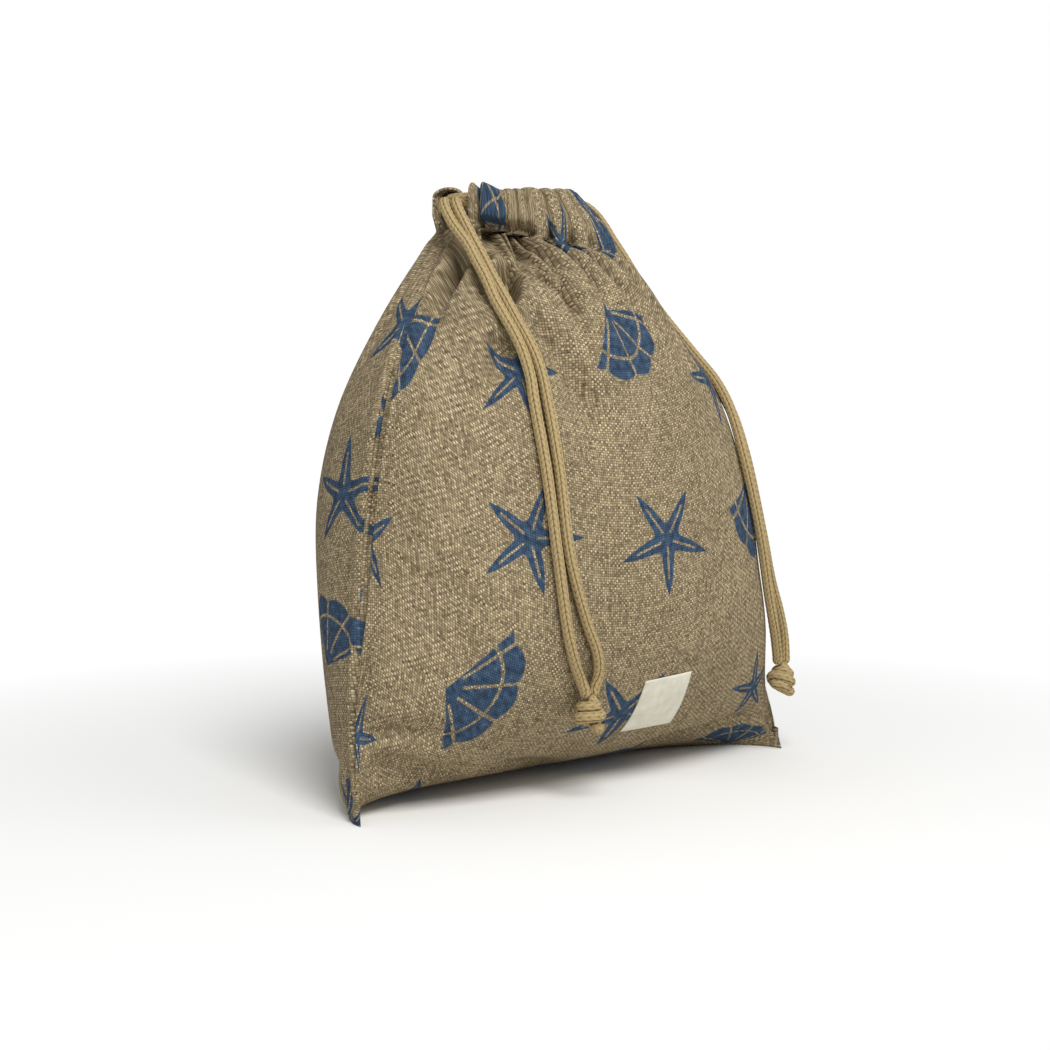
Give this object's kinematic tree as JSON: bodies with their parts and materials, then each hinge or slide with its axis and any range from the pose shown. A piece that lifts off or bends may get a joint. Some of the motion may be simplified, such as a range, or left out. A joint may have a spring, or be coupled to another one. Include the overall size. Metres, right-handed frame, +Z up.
{
  "type": "drawstring bag",
  "caption": "Standing drawstring bag of heavy linen, gathered at the mouth by braided drawcords in a folded casing, with knotted cord ends and a small sewn label.",
  "frame": {"origin": "on the floor, under the middle of the bag's box without its hanging cords", "axes": "+Z up through the mouth, -Y to the front with the label and the hanging left cord, +X to the right as seen from the front"},
  "size_m": [0.33, 0.1947, 0.3498],
  "materials": {
    "linen": "coarse flax weave with a printed blue motif",
    "cotton": "round braid",
    "tape": "plain woven label"
  },
  "bodies": {
    "bag": {"front_panel": "linen", "back_panel": "linen", "front_casing": "linen", "back_casing": "linen", "left_seam_allowance": "linen", "right_seam_allowance": "linen", "bottom_seam_allowance": "linen", "label": "tape", "left_cord_run": "cotton", "right_cord_run": "cotton"},
    "left_lead": {"left_front_lead": "cotton", "left_rear_lead": "cotton"},
    "left_tail": {"left_front_strand": "cotton", "left_rear_strand": "cotton", "left_knot": "cotton"},
    "right_lead": {"right_front_lead": "cotton", "right_rear_lead": "cotton"},
    "right_tail": {"right_front_strand": "cotton", "right_rear_strand": "cotton", "right_knot": "cotton"}
  },
  "joints": [
    {"name": "left_cord_swing", "type": "hinge", "parent": "bag", "child": "left_lead", "pos_m": [-0.0534, 0.0114, 0.33825], "axis": [-0.7071, -0.7071, 0], "range_deg": [0, 140]},
    {"name": "left_cord_draw", "type": "slide", "parent": "left_lead", "child": "left_tail", "axis": [-0.7071, -0.7071, 0], "range_m": [0, 0.04]},
    {"name": "right_cord_swing", "type": "hinge", "parent": "bag", "child": "right_lead", "pos_m": [0.0347, 0.015, 0.34355], "axis": [0, -1, 0], "range_deg": [0, 85]},
    {"name": "right_cord_draw", "type": "slide", "parent": "right_lead", "child": "right_tail", "axis": [1, 0, 0], "range_m": [0, 0.04]}
  ]
}
